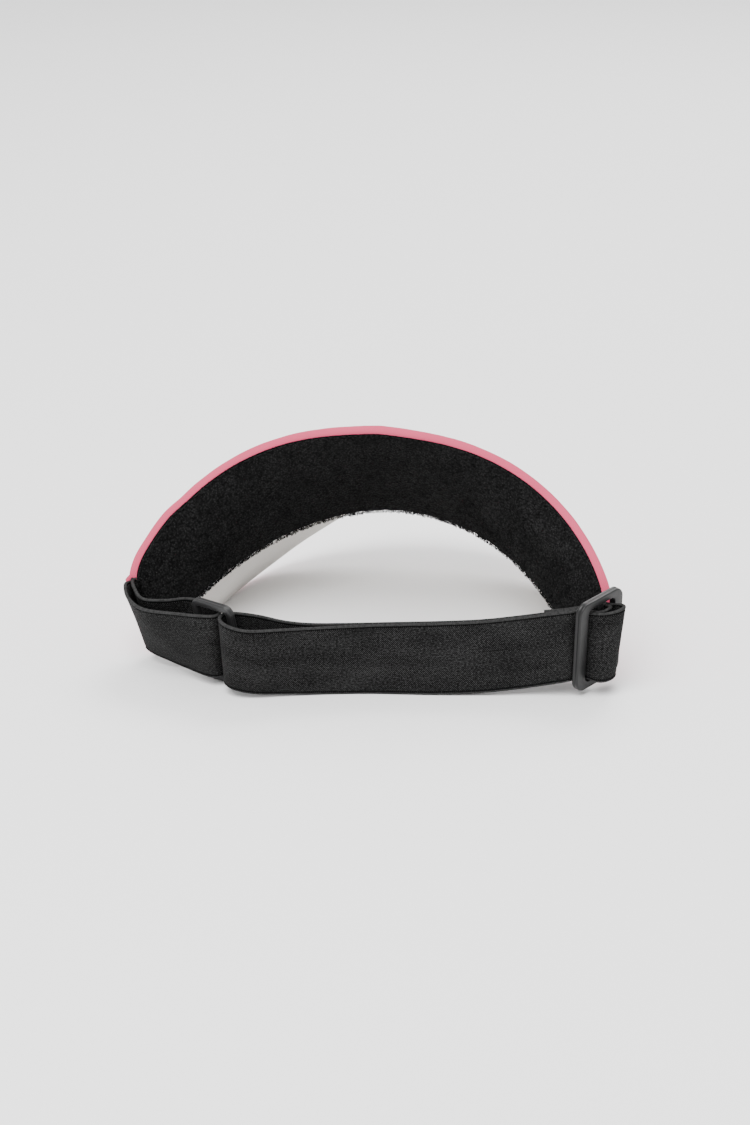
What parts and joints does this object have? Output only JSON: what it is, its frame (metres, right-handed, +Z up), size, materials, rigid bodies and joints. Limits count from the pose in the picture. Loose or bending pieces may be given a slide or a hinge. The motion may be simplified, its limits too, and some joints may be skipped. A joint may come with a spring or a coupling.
{
  "type": "sun visor",
  "caption": "Sun visor with a rolled fabric crown, a terry sweatband, a curved stiff brim and an elastic back strap that adjusts through a ring and a slider.",
  "frame": {"origin": "Middle of the part from side to side and from brim to strap, on the surface the visor stands on.", "axes": "+X towards the wearer's left, where the ring is; +Y towards the back of the head, -Y out of the brim; +Z up, with the brim and the strap standing on a table at z 0."},
  "size_m": [0.2065, 0.1772, 0.0957],
  "materials": {
    "pink_fabric": "matte woven",
    "off_white_lining": "matte woven",
    "black_terry": "matte looped pile",
    "stiffener_foam": "matte",
    "board_plastic": "matte",
    "pink_thread": "matte thread",
    "black_thread": "matte thread",
    "elastic_webbing": "matte ribbed weave",
    "hardware_plastic": "satin moulded"
  },
  "bodies": {
    "visor": {"crown_shell": "pink_fabric", "crown_stiffener": "stiffener_foam", "sweatband": "black_terry", "brim_board": "board_plastic", "brim_top_cover": "pink_fabric", "brim_under_cover": "off_white_lining", "crown_stitching": "pink_thread", "brim_stitching": "pink_thread", "sweatband_stitching": "black_thread", "left_end_stitching": "black_thread", "right_end_stitching": "black_thread", "short_loop": "elastic_webbing", "strap_ring_turn": "elastic_webbing", "strap_outer_run": "elastic_webbing", "strap_inner_run": "elastic_webbing", "strap_end_bend": "elastic_webbing"},
    "ring": {"ring": "hardware_plastic"},
    "slider": {"slider": "hardware_plastic", "strap_slider_pass": "elastic_webbing", "strap_tail_loop": "elastic_webbing", "tail_stitching": "black_thread"}
  },
  "joints": [
    {"name": "slider_travel", "type": "hinge", "parent": "visor", "child": "slider", "pos_m": [-0.0355, -0.0309, 0.0228], "axis": [0, 0, -1], "range_deg": [0, 30], "deforming": ["strap_outer_run", "strap_inner_run", "strap_end_bend"]},
    {"name": "ring_swivel", "type": "hinge", "parent": "visor", "child": "ring", "pos_m": [0.0639, 0.0628, 0.00035], "axis": [0.1154, 0.2126, 0.9703], "range_deg": [-5, 2]}
  ]
}
